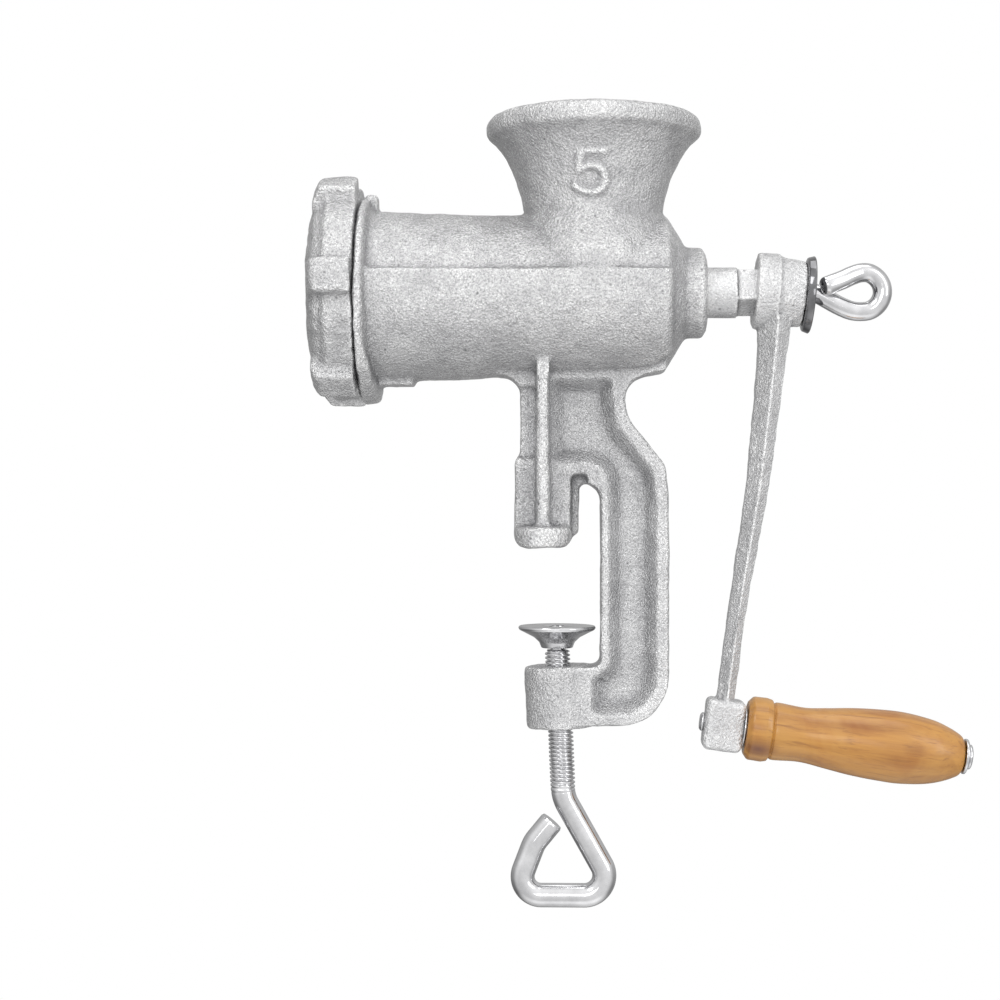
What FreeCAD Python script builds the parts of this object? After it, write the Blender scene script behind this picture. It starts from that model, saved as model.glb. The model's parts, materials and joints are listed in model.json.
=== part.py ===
"""Hand crank meat grinder, size 5: millimetres, +Z up, barrel along X.

The origin is the centre of the flat seat under the upper jaw, which rests on the table top.
The outlet ring is at -X and the crank at +X.
"""
import FreeCAD
import Part
import os
from math import acos, asin, cos, hypot, radians, sin, sqrt, tan

V = FreeCAD.Vector
os.makedirs("parts", exist_ok=True)

# ---- driving dimensions -------------------------------------------------------------------------
AXIS_Z = 92.6              # barrel and shaft axis above the table seat
BORE_R = 26.4              # inside of the barrel
FACE_X = -79.2             # front face of the barrel's threaded spigot
SPIGOT_R = 31.4            # outside of the ring thread
COLLAR_R = 38.2            # collar behind the ring nut
COLLAR_DROP = 3.0          # the collar hangs lower than the axis, as a drip edge
COLLAR_X = (-66.2, -63.4)
DRIP_X = -59.8             # rear of the collar's widened bottom
KNOB_X = -63.0             # small boss on top of the barrel behind the ring, over the key pin
KNOB_R = 2.7
KNOB_TOP = 129.2
REAR_X = 43.0              # inside of the rear wall
NECK_X = 59.4              # rear face of the neck boss
NECK_R = 16.6
BAND_TOP = 6.0             # height of the raised lower half's edge above the axis

HOPPER_X = 18.2            # hopper axis
HOPPER_TOP = 156.2
LIP_R = 3.3                # rounding radius of the hopper's lip
HOPPER_WALL = 3.6

PLATE_R = 27.0
PLATE_T = 5.0
PLATE_SEAT_R = 27.15
KEY_R = 2.4
KEY_RADIUS = 27.6          # distance of the key pin from the axis

SHAFT_R = 9.2
SHAFT_RUN = 0.06           # radial running clearance of the shaft in its bush
BUSH_R = 12.4
SHAFT_SHOULDER_X = 70.2    # where the round shaft becomes square
SQUARE_CORNER_R = 8.9      # centre to corner of the square shaft end
SQUARE_PHASE = -19.0       # a corner's angle from -Y towards +Z, degrees
SHAFT_END_X = 93.0

FLIGHT_R = 25.7
FLIGHT_PITCH = 26.0
FLIGHT_X = (-58.0, 40.0)
CORE_R = (9.0, 12.5)       # feed screw core, front and rear
SCREW_FRONT_X = -66.0

KNIFE_TIP_R = 22.0
KNIFE_SQUARE = 8.3
KNIFE_X = (-73.9, -66.1)
STUD_SQUARE = 8.0
STUD_PIN_R = 4.1

RING_X = (-84.4, -66.6)
RING_THREAD_R = 31.7
RING_LIP_R = 24.5
LUG_COUNT = 6
LUG_PHASE = 3.5
LUG_TIP_R = 43.3
LUG_WIDTH = 12.4

RAKE = 7.4                 # the crank hangs raked: its arm leans to -X going down, degrees
HUB_RAKE = 4.5
HUB_X = 86.2               # hub centre on the shaft axis
CRANK_RADIUS = 158.8
EYE_SIZE = (14.2, 15.0, 18.6)
PIN_R = 3.0
GRIP_START = 7.9           # wood's near end, along the pin from the eye's centre
GRIP_END = 87.0

EYE_SCREW_R = 3.95         # M8 screw that holds the crank on
EYE_BORE_R = 4.0
EYE_ROD_R = 3.45
EYE_NECK_X = 99.2
EYE_LOOP_X = 116.3
EYE_LOOP_R = 6.85

LEG_HALF = 10.5            # half width of the leg's flanges
WEB_HALF = 3.6
JAW_HALF = 11.0
SEAT_HALF = (10.2, 28.0)   # half size of the seat bar, along X and Y
SEAT_T = 7.6
THROAT_X = 20.6            # inner edge of the leg, where the table edge stops
LEG_OUT_X = 45.4
ARM_Z = (-64.8, -43.4)     # lower arm, bottom and top

SCREW_LEAN = 2.3           # the clamp screw's tapped hole is drilled slightly off plumb, degrees
SCREW_AT = V(5.7, 0, -55.0)
BOSS_R = 12.3
CLAMP_ROD_R = 4.6          # M10 clamp screw
CLAMP_BORE_R = 4.65
CLAMP_TOP = 17.4           # the rod's top above SCREW_AT, along the rod
SWIVEL_R = 2.4
SWIVEL_LENGTH = 6.5
PAD_R = 14.2
PAD_TOP = 26.0


# ---- helpers ------------------------------------------------------------------------------------
def save(name, shape):
    """Write one sub-part as parts/NAME.step."""
    solid = shape.removeSplitter()
    if not solid.isValid() or not solid.Solids:
        raise ValueError(name + " is not a valid solid")
    solid.exportStep("parts/" + name + ".step")
    print(name, "solids", len(solid.Solids), "volume", round(solid.Volume))


def wire_through(points):
    """A closed wire through the points, each a vector with an optional rounding radius."""
    edges = []
    spans = []
    count = len(points)
    for i in range(count):
        before, (here, radius), after = points[i - 1][0], points[i], points[(i + 1) % count][0]
        if radius <= 0:
            spans.append((here, here, None))
            continue
        back = (before - here).normalize()
        ahead = (after - here).normalize()
        half = acos(max(-1.0, min(1.0, back.dot(ahead)))) / 2
        reach = radius / tan(half)
        start = here + back * reach
        end = here + ahead * reach
        centre = here + (back + ahead).normalize() * (radius / sin(half))
        middle = centre + (here - centre).normalize() * radius
        spans.append((start, end, Part.Arc(start, middle, end).toShape()))
    for i in range(count):
        start, end, arc = spans[i]
        if arc:
            edges.append(arc)
        following = spans[(i + 1) % count][0]
        if (following - end).Length > 1e-6:
            edges.append(Part.makeLine(end, following))
    return Part.Wire(edges)


def outline_xz(points, y=0.0):
    """A closed wire in the XZ plane; a point is (x, z) or (x, z, rounding radius)."""
    return wire_through([(V(p[0], y, p[1]), p[2] if len(p) > 2 else 0.0) for p in points])


def slab(points, half):
    """An XZ outline as a plate, half thick on each side of the XZ plane."""
    return Part.Face(outline_xz(points, -half)).extrude(V(0, 2 * half, 0))


def turned_x(profile):
    """A solid turned about the barrel axis from (x, radius) points."""
    wire = wire_through([(V(p[0], 0, AXIS_Z + p[1]), p[2] if len(p) > 2 else 0.0) for p in profile])
    return Part.Face(wire).revolve(V(0, 0, AXIS_Z), V(1, 0, 0), 360)


def turned_z(profile, x=0.0):
    """A solid turned about a vertical axis at x from (radius, z) points."""
    wire = wire_through([(V(x + p[0], 0, p[1]), p[2] if len(p) > 2 else 0.0) for p in profile])
    return Part.Face(wire).revolve(V(x, 0, 0), V(0, 0, 1), 360)


def disc_x(radius, x0, x1):
    """A cylinder on the barrel axis between x0 and x1."""
    return Part.makeCylinder(radius, x1 - x0, V(x0, 0, AXIS_Z), V(1, 0, 0))


def tube_x(outer, inner, x0, x1):
    """A ring on the barrel axis between x0 and x1."""
    return disc_x(outer, x0, x1).cut(disc_x(inner, x0 - 1, x1 + 1))


def square_x(corner_radius, x0, x1, phase):
    """A square bar on the barrel axis, one corner at the given angle from -Y towards +Z."""
    corners = []
    for i in range(4):
        angle = radians(phase + 90 * i)
        corners.append(V(x0, -corner_radius * cos(angle), AXIS_Z + corner_radius * sin(angle)))
    return Part.Face(Part.makePolygon(corners + corners[:1])).extrude(V(x1 - x0, 0, 0))


def box(x, y, z):
    """A box from three (low, high) pairs."""
    return Part.makeBox(x[1] - x[0], y[1] - y[0], z[1] - z[0], V(x[0], y[0], z[0]))


def bent_rod(points, radius):
    """A round rod along an open XZ path; inner points carry their bend radius."""
    vectors = [(V(p[0], 0, p[1]), p[2] if len(p) > 2 else 0.0) for p in points]
    edges = []
    start = vectors[0][0]
    for i in range(1, len(vectors) - 1):
        here, bend = vectors[i]
        back = (vectors[i - 1][0] - here).normalize()
        ahead = (vectors[i + 1][0] - here).normalize()
        half = acos(back.dot(ahead)) / 2
        reach = bend / tan(half)
        first = here + back * reach
        last = here + ahead * reach
        centre = here + (back + ahead).normalize() * (bend / sin(half))
        middle = centre + (here - centre).normalize() * bend
        if (first - start).Length > 1e-3:
            edges.append(Part.makeLine(start, first))
        edges.append(Part.Arc(first, middle, last).toShape())
        start = last
    edges.append(Part.makeLine(start, vectors[-1][0]))
    direction = (vectors[1][0] - vectors[0][0]).normalize()
    section = Part.Wire(Part.makeCircle(radius, vectors[0][0], direction))
    return Part.Wire(edges).makePipeShell([section], True, False)


def raked(shape, angle=RAKE):
    """Place a crank piece, drawn with the hub centre at the origin, on the shaft with its rake."""
    moved = shape.copy()
    moved.rotate(V(0, 0, 0), V(0, 1, 0), angle)
    moved.translate(V(HUB_X, 0, AXIS_Z))
    return moved


def along_pin(profile):
    """A raked solid turned about the grip pin from (distance from the eye's centre, radius) points."""
    axis_z = -CRANK_RADIUS
    wire = wire_through([(V(p[0], 0, axis_z + p[1]), p[2] if len(p) > 2 else 0.0) for p in profile])
    return raked(Part.Face(wire).revolve(V(0, 0, axis_z), V(1, 0, 0), 360))


def leaned(shape):
    """Place a clamp piece, drawn about the Z axis with the boss centre at the origin."""
    moved = shape.copy()
    moved.rotate(V(0, 0, 0), V(0, 1, 0), -SCREW_LEAN)
    moved.translate(SCREW_AT)
    return moved


# ---- body casting -------------------------------------------------------------------------------
def barrel():
    """Outside of the barrel with its thread spigot, collar, dome and neck boss."""
    upper = turned_x([(FACE_X, 0), (FACE_X, SPIGOT_R), (COLLAR_X[0], SPIGOT_R), (COLLAR_X[1], 29.9),
                      (-14, 28.4), (44.4, 28.0, 2), (50.4, 18.6), (51.4, NECK_R), (57.6, NECK_R),
                      (NECK_X, 13.4), (NECK_X, 0)])
    lower = turned_x([(-62, 0), (-62, 32.6), (-8, 31.0), (45.2, 30.8, 3), (46.6, 25), (46.6, 0)])
    lower = lower.common(slab([(-70, AXIS_Z + BAND_TOP), (-70, 59.6), (-8, 62.4), (30, 64.6), (40, 65.6, 6),
                               (60, 80), (60, AXIS_Z + BAND_TOP)], 40))
    collar = turned_x([(COLLAR_X[0], 0), (COLLAR_X[0], COLLAR_R, 1), (COLLAR_X[1], COLLAR_R - 1.2, 1),
                       (COLLAR_X[1] + 1.8, 29.8), (COLLAR_X[1] + 1.8, 0)])
    drip = turned_x([(COLLAR_X[0] + 0.5, 0), (COLLAR_X[0] + 0.5, COLLAR_R - 0.2), (DRIP_X, COLLAR_R - 1.2, 2),
                     (DRIP_X, 0)])
    drip = drip.common(slab([(COLLAR_X[0], 76), (COLLAR_X[1], 76), (DRIP_X, 60), (DRIP_X, 40),
                             (COLLAR_X[0], 40)], COLLAR_R))
    knob = Part.makeCylinder(KNOB_R, KNOB_TOP - AXIS_Z, V(KNOB_X, 0, AXIS_Z))
    knob = knob.makeFillet(1.5, [edge for edge in knob.Edges if edge.BoundBox.ZMin > KNOB_TOP - 0.1])
    collar = collar.fuse(drip)
    collar.translate(V(0, 0, -COLLAR_DROP))
    lip = box((-60, -47.5), (-8, 8), (58.8, 66))
    return upper.fuse([lower, collar, knob, lip])


def hopper_outside():
    """Outside of the hopper: a flared bowl on a round throat, which widens where it runs into the barrel."""
    bowl = turned_z([(0, AXIS_Z), (24.2, AXIS_Z), (24.2, 112, 20), (25.0, 121), (26.6, 129, 30),
                     (30.8, 141, 40), (36.6, 148.2, 4), (39.2, 149.6, 2.5), (39.2, HOPPER_TOP, LIP_R),
                     (33.8, HOPPER_TOP, 2), (33.2, 152), (0, 152)], HOPPER_X)
    root = turned_z([(0, AXIS_Z), (29.6, AXIS_Z), (29.6, 106, 8), (25.0, 120.5), (0, 120.5)], HOPPER_X)
    return bowl.fuse(root.common(box((-14, 42), (-30, 30), (AXIS_Z, 121))))


def hopper_inside():
    """The hollow of the hopper, down into the bore."""
    inset = HOPPER_WALL
    return turned_z([(0, AXIS_Z), (24.2 - inset, AXIS_Z), (24.2 - inset, 118, 20), (26.6 - inset, 130, 30),
                     (30.8 - inset, 143, 20), (34.2, 153, 6), (34.2, HOPPER_TOP + 2), (0, HOPPER_TOP + 2)],
                    HOPPER_X)


def leg_outline():
    """The C-shaped leg, from inside the barrel round to the clamp boss."""
    return [(-17, 80), (-17, 62.2), (-8.4, 62.2, 7.5), (-8.4, 33.4), (-10.4, 31), (-10.4, 3), (8, 3),
            (12.9, 4.9), (12.9, 23.0, 1.5), (THROAT_X, 23.0, 6), (THROAT_X, ARM_Z[1], 3), (6, ARM_Z[1]),
            (6, ARM_Z[0]), (LEG_OUT_X, ARM_Z[0], 18), (LEG_OUT_X, 30.0, 8), (29.0, 46.4, 9), (29.0, 61.0, 11),
            (44.6, 64.0, 1.5), (44.6, 80)]


def leg_pocket():
    """The recess between the leg's flanges, the same on both faces."""
    return [(3.4, 60.5, 2), (3.4, 31.4, 2), (24.0, 31.4, 9), (24.0, ARM_Z[1] - 3.5, 6), (17.6, -46.3, 2),
            (17.6, -60.2, 2), (LEG_OUT_X - 4.8, -60.2, 14), (LEG_OUT_X - 4.8, 27.8, 6), (24.4, 44.0, 8),
            (24.4, 60.5, 1)]


def leg():
    """The I-section leg, its jaw block, the seat bar and the gusset rib."""
    web_and_flanges = slab(leg_outline(), LEG_HALF)
    for side in (-1, 1):
        near, far = sorted((side * WEB_HALF, side * (LEG_HALF + 1)))
        cut = Part.Face(outline_xz(leg_pocket(), near)).extrude(V(0, far - near, 0))
        strip = box((10.0, 16), (near, far), (0, 26))
        shoulder_near, shoulder_far = sorted((side * (LEG_HALF - 2.5), side * (LEG_HALF + 1)))
        shoulder = box((-9, -2.4), (shoulder_near, shoulder_far), (32, 58))
        web_and_flanges = web_and_flanges.cut([cut, strip, shoulder])
    jaw = box((-10.4, 10.0), (-JAW_HALF, JAW_HALF), (3, 31))
    panels = [box((x, x + 5.0), (y, y + 1.6), (9.5, 29))
              for x in (-8.6, 3.4) for y in (-JAW_HALF, JAW_HALF - 1.6)]
    half_x, half_y = SEAT_HALF
    seat_profile = outline_xz([(-half_x, 0, 4), (half_x, 0, 4), (half_x, SEAT_T, 2), (-half_x, SEAT_T, 2)],
                              -half_y)
    seat = Part.Face(seat_profile).extrude(V(0, 2 * half_y, 0))
    plan = Part.makeBox(2 * half_x, 2 * (half_y - half_x), SEAT_T, V(-half_x, half_x - half_y, 0))
    ends = [Part.makeCylinder(half_x, SEAT_T, V(0, y, 0)) for y in (half_x - half_y, half_y - half_x)]
    seat = seat.common(plan.fuse(ends))
    rib_half = half_y - 4.5
    gusset = Part.makePolygon([V(-2.4, -rib_half, 4), V(-2.4, rib_half, 4), V(-2.4, 19, 76), V(-2.4, -19, 76),
                               V(-2.4, -rib_half, 4)])
    gusset = Part.Face(gusset).extrude(V(4.8, 0, 0))
    boss = leaned(Part.makeCylinder(BOSS_R, 22.6, V(0, 0, -11.0)))
    return web_and_flanges.fuse([jaw.cut(panels), seat, gusset, boss])


def body_casting():
    """Barrel, hopper and leg in one casting, bored, threaded and tapped."""
    solid = barrel().fuse([hopper_outside(), leg()])
    bore = turned_x([(FACE_X - 1, 0), (FACE_X - 1, PLATE_SEAT_R), (FACE_X + PLATE_T, PLATE_SEAT_R),
                     (FACE_X + PLATE_T, BORE_R), (REAR_X, BORE_R, 3), (REAR_X, 0)])
    neck = disc_x(BUSH_R, REAR_X - 1, NECK_X + 1)
    key_hole = Part.makeCylinder(KEY_R, 9, V(FACE_X - 1, 0, AXIS_Z + KEY_RADIUS), V(1, 0, 0))
    tapped = leaned(Part.makeCylinder(CLAMP_BORE_R, 60, V(0, 0, -30)))
    return solid.cut([bore, neck, hopper_inside(), key_hole, tapped])


# ---- drive --------------------------------------------------------------------------------------
def feed_screw():
    """Auger with its round journal, square crank end and tapped rear hole."""
    core = turned_x([(SCREW_FRONT_X, 0), (SCREW_FRONT_X, 9.4), (-62, 9.4), (-58, CORE_R[0]), (36, CORE_R[1]),
                     (41.0, 20.0), (42.0, 20.0), (42.0, SHAFT_R), (SHAFT_SHOULDER_X, SHAFT_R),
                     (SHAFT_SHOULDER_X, 0)])
    length = FLIGHT_X[1] - FLIGHT_X[0]
    helix = Part.makeHelix(FLIGHT_PITCH, length - 6, CORE_R[0])
    root, tip = CORE_R[0] - 2.5, FLIGHT_R
    corners = [V(root, 0, 0), V(tip, 0, 1.6), V(tip, 0, 4.4), V(root, 0, 6.0)]
    section = Part.makePolygon(corners + corners[:1])
    flight = Part.Wire(helix).makePipeShell([section], True, True)
    flight.rotate(V(0, 0, 0), V(0, 1, 0), 90)
    flight.translate(V(FLIGHT_X[0], 0, AXIS_Z))
    square = square_x(SQUARE_CORNER_R, SHAFT_SHOULDER_X - 1, SHAFT_END_X, SQUARE_PHASE)
    tapped = disc_x(EYE_BORE_R, 60, SHAFT_END_X + 1)
    stud_hole = disc_x(STUD_PIN_R, SCREW_FRONT_X - 1, SCREW_FRONT_X + 12)
    return core.fuse([flight, square]).cut([tapped, stud_hole])


def knife_stud():
    """Square stud that drives the knife, with a round pilot in the plate and a shank in the screw."""
    shank = disc_x(STUD_PIN_R, SCREW_FRONT_X - 0.5, SCREW_FRONT_X + 11.5)
    square = square_x(STUD_SQUARE / sqrt(2), KNIFE_X[0] - 0.2, SCREW_FRONT_X, 45)
    pilot = disc_x(STUD_PIN_R - 0.15, FACE_X - 0.2, KNIFE_X[0])
    return shank.fuse([square, pilot])


def thrust_washer():
    """Fibre washer between the feed screw's rear shoulder and the neck."""
    return tube_x(18.0, SHAFT_R + SHAFT_RUN, 42.05, REAR_X - 0.05)


def bearing_bush():
    """Plain bush pressed into the neck."""
    return tube_x(BUSH_R, SHAFT_R + SHAFT_RUN, REAR_X + 0.4, NECK_X - 0.3)


def cross_knife():
    """Four swept blades on a square hub."""
    thick = KNIFE_X[1] - KNIFE_X[0]
    hub = box(KNIFE_X, (-7.3, 7.3), (AXIS_Z - 7.3, AXIS_Z + 7.3))
    blade_points = [V(0, -4.5, 5), V(0, -5.2, 15), V(0, -7.4, KNIFE_TIP_R - 1.8), V(0, -1.0, KNIFE_TIP_R),
                    V(0, 3.2, 15), V(0, 6.6, 6.5), V(0, -4.5, 5)]
    blade = Part.Face(Part.makePolygon(blade_points)).extrude(V(thick * 0.8, 0, 0))
    blade.translate(V(KNIFE_X[0], 0, AXIS_Z))
    blades = []
    for i in range(4):
        turned = blade.copy()
        turned.rotate(V(0, 0, AXIS_Z), V(1, 0, 0), 90 * i)
        blades.append(turned)
    hole = square_x(KNIFE_SQUARE / sqrt(2), KNIFE_X[0] - 1, KNIFE_X[1] + 1, 45)
    return hub.fuse(blades).cut(hole)


def grinding_plate():
    """Fine plate: 3 mm holes on a triangular grid, a pilot hole and a key notch."""
    plate = disc_x(PLATE_R, FACE_X, FACE_X + PLATE_T - 0.3)
    hole_r, pitch = 1.5, 5.5
    cutters = [disc_x(STUD_PIN_R, FACE_X - 1, FACE_X + PLATE_T),
               Part.makeCylinder(KEY_R + 0.2, PLATE_T + 2, V(FACE_X - 1, 0, AXIS_Z + KEY_RADIUS), V(1, 0, 0))]
    for row in range(-4, 5):
        z = row * pitch * sin(radians(60))
        offset = pitch / 2 if row % 2 else 0.0
        for column in range(-5, 6):
            y = column * pitch + offset
            if 6.5 < hypot(y, z) < 23.5:
                centre = V(FACE_X - 1, y, AXIS_Z + z)
                cutters.append(Part.makeCylinder(hole_r, PLATE_T + 2, centre, V(1, 0, 0)))
    return plate.cut(cutters)


def plate_key_pin():
    """Pin in the barrel's mouth that keys the plate against turning."""
    return Part.makeCylinder(KEY_R, 7.6, V(FACE_X + 0.3, 0, AXIS_Z + KEY_RADIUS), V(1, 0, 0))


def ring_nut():
    """Ring nut with lugs, screwed over the spigot, its lip holding the plate in."""
    front, back = RING_X
    outside = turned_x([(front, 0), (front, 27.4, 1.2), (front + 2.6, 33.6, 2), (front + 4.0, 36.0, 1),
                        (-77.4, 37.2), (-76.8, 39.4, 0.5), (back, 38.6, 1), (back, 0)])
    limit = turned_x([(front + 1.7, 0), (front + 1.7, 38.0, 1.5), (-80.2, LUG_TIP_R - 0.3, 1.5),
                      (-77.2, LUG_TIP_R), (back, LUG_TIP_R, 1.5), (back, 0)])
    lugs = []
    for i in range(LUG_COUNT):
        lug = box((front, back), (-LUG_TIP_R, -30), (AXIS_Z - LUG_WIDTH / 2, AXIS_Z + LUG_WIDTH / 2))
        lug.rotate(V(0, 0, AXIS_Z), V(1, 0, 0), -(LUG_PHASE + 360 / LUG_COUNT * i))
        lugs.append(lug)
    inside = turned_x([(front - 1, 0), (front - 1, RING_LIP_R + 2.0), (front + 2, RING_LIP_R),
                       (FACE_X - 0.15, RING_LIP_R), (FACE_X - 0.15, RING_THREAD_R), (back + 1, RING_THREAD_R),
                       (back + 1, 0)])
    return outside.fuse([lug.common(limit) for lug in lugs]).cut(inside)


# ---- crank --------------------------------------------------------------------------------------
def arm_section(z, x, width, depth):
    """A closed hexagonal section of the arm at height z: a ridge on each flank."""
    half, flat = depth / 2, width / 2
    points = [V(x - flat, -half * 0.35, z), V(x + flat * 0.1, -half, z), V(x + flat, -half * 0.55, z),
              V(x + flat, half * 0.55, z), V(x + flat * 0.1, half, z), V(x - flat, half * 0.35, z)]
    return Part.makePolygon(points + points[:1])


def crank_arm():
    """Cast crank: hub, tapering arm and eye block."""
    hub = Part.Face(wire_through([(V(-9.2, 0, 0), 0), (V(-9.2, 0, 14.0), 1), (V(-1.0, 0, 13.8), 0.8),
                                  (V(-0.8, 0, 12.8), 0), (V(8.4, 0, 12.0), 1), (V(8.4, 0, 0), 0)]))
    hub = raked(hub.revolve(V(0, 0, 0), V(1, 0, 0), 360), HUB_RAKE)
    sections = [arm_section(-9, -1.4, 12.6, 24), arm_section(-22, -0.3, 10.2, 20),
                arm_section(-47, 0.4, 8.9, 17), arm_section(-69, 0.7, 8.1, 16),
                arm_section(-92, 0.1, 7.0, 15), arm_section(-114, -0.6, 6.3, 14),
                arm_section(-136, -0.8, 6.1, 14), arm_section(-153, -0.7, 6.2, 14)]
    arm = raked(Part.makeLoft(sections, True, False))
    size_x, size_y, size_z = EYE_SIZE
    eye = Part.makeBox(size_x, size_y, size_z, V(-7.3, -size_y / 2, -CRANK_RADIUS - size_z / 2))
    eye = raked(eye.makeFillet(2.2, eye.Edges))
    square = square_x(SQUARE_CORNER_R + 0.02, HUB_X - 14, HUB_X + 14, SQUARE_PHASE)
    pin_hole = Part.makeCylinder(PIN_R, 40, V(-20, 0, -CRANK_RADIUS), V(1, 0, 0))
    return hub.fuse([arm, eye]).cut([square, raked(pin_hole)])


def crank_washer():
    """Dished washer between the hub and the eye screw."""
    profile = [(8.5, 5.0), (8.5, 12.6), (9.3, 14.2), (10.3, 13.6), (11.4, 9.0), (11.7, 5.0)]
    wire = wire_through([(V(x, 0, r), 0.0) for x, r in profile])
    return raked(Part.Face(wire).revolve(V(0, 0, 0), V(1, 0, 0), 360), HUB_RAKE)


def crank_eye_screw():
    """Screw with its rod bent into an eye, which draws the crank onto the square."""
    angle = asin(EYE_LOOP_R / (EYE_LOOP_X - EYE_NECK_X))
    far_x = EYE_LOOP_X + EYE_LOOP_R
    far_z = (far_x - EYE_NECK_X) * tan(angle)
    end_x = EYE_NECK_X + 8.0
    end_z = (end_x - EYE_NECK_X) * tan(angle) + 0.3
    bend = EYE_LOOP_R - 0.02
    loop = bent_rod([(EYE_NECK_X - 2.6, AXIS_Z), (EYE_NECK_X, AXIS_Z, 4.5), (far_x, AXIS_Z - far_z, bend),
                     (far_x, AXIS_Z + far_z, bend), (end_x, AXIS_Z + end_z)], EYE_ROD_R)
    shank = disc_x(EYE_SCREW_R, 70, EYE_NECK_X - 2.4)
    return shank.fuse(loop)


def grip_pin():
    """Pin riveted through the eye block, on which the grip turns."""
    return along_pin([(-8.9, 0), (-8.9, 2.6, 0.8), (-7.4, 4.4, 0.6), (-7.35, PIN_R), (GRIP_END + 1.7, PIN_R),
                      (GRIP_END + 1.75, 5.4, 0.6), (GRIP_END + 3.2, 4.2, 0.6), (GRIP_END + 4.0, 0)])


def grip_inner_washer():
    """Thin washer between the eye block and the grip."""
    return along_pin([(6.95, PIN_R + 0.05), (6.95, 7.5), (7.55, 7.5), (7.55, PIN_R + 0.05)])


def grip_end_washer():
    """Washer under the pin's riveted head."""
    return along_pin([(GRIP_END + 0.35, PIN_R + 0.05), (GRIP_END + 0.35, 6.4), (GRIP_END + 1.55, 6.4),
                      (GRIP_END + 1.55, PIN_R + 0.05)])


def wood_grip():
    """Turned wooden grip: a collar bead, a groove, a waist and a swelling end."""
    bore = PIN_R + 0.08
    wire_points = [(GRIP_START, bore), (GRIP_START, 9.6), (9.6, 11.6), (14.6, 11.7), (16.6, 11.2)]
    swell = [(17.4, 10.1), (19.2, 10.5), (28.5, 9.95), (37, 10.9), (47, 12.2), (58, 13.0), (66, 12.9),
             (75, 11.6), (81, 9.7), (85.4, 7.6), (GRIP_END, 5.6)]
    axis_z = -CRANK_RADIUS
    first = [V(x, 0, axis_z + r) for x, r in wire_points]
    curve = Part.BSplineCurve()
    curve.interpolate([V(x, 0, axis_z + r) for x, r in swell])
    edges = [Part.makeLine(a, b) for a, b in zip(first, first[1:])]
    edges.append(Part.makeLine(first[-1], V(swell[0][0], 0, axis_z + swell[0][1])))
    edges.append(curve.toShape())
    end = V(GRIP_END, 0, axis_z + bore)
    edges.append(Part.makeLine(V(swell[-1][0], 0, axis_z + swell[-1][1]), end))
    edges.append(Part.makeLine(end, first[0]))
    return raked(Part.Face(Part.Wire(edges)).revolve(V(0, 0, axis_z), V(1, 0, 0), 360))


# ---- clamp --------------------------------------------------------------------------------------
def clamp_screw():
    """Threaded rod bent below into a triangular loop handle, with a swivel end in the pad."""
    rod = bent_rod([(0, CLAMP_TOP), (0, -36.7, 14), (18.8, -73.5, 7.4), (-19.4, -72.0, 6.8),
                    (-11.3, -53.1, 12), (-4.4, -45.4)], CLAMP_ROD_R - 0.2)
    thread = Part.makeCylinder(CLAMP_ROD_R, CLAMP_TOP + 30, V(0, 0, -30))
    swivel = Part.makeCylinder(SWIVEL_R, SWIVEL_LENGTH, V(0, 0, CLAMP_TOP))
    return leaned(rod.fuse([thread, swivel]))


def clamp_pad():
    """Dished pad that swivels level on the screw's end and presses under the table."""
    hole = SWIVEL_R + 0.4
    profile = [(PAD_TOP - 1.6, hole), (PAD_TOP - 1.6, 3.6), (PAD_TOP, 4.2), (PAD_TOP, PAD_R - 0.4),
               (PAD_TOP - 0.9, PAD_R), (PAD_TOP - 1.9, PAD_R - 0.6), (PAD_TOP - 5.2, 8.4),
               (PAD_TOP - 8.1, 6.2), (PAD_TOP - 8.1, hole)]
    wire = wire_through([(V(r, 0, z), 0.0) for z, r in profile])
    level = Part.Face(wire).revolve(V(0, 0, 0), V(0, 0, 1), 360)
    swivel_middle = CLAMP_TOP + SWIVEL_LENGTH / 2
    level.translate(SCREW_AT - V(swivel_middle * sin(radians(SCREW_LEAN)), 0, 0))
    return level


PIECES = (body_casting, bearing_bush, plate_key_pin, feed_screw, knife_stud, thrust_washer, cross_knife,
          grinding_plate, ring_nut, crank_arm, crank_washer, crank_eye_screw, grip_pin, grip_inner_washer,
          wood_grip, grip_end_washer, clamp_screw, clamp_pad)

for piece in PIECES:
    save(piece.__name__, piece())
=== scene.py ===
import json
import math

import bmesh
import bpy
import numpy as np
from mathutils import Matrix, Vector, noise


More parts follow.
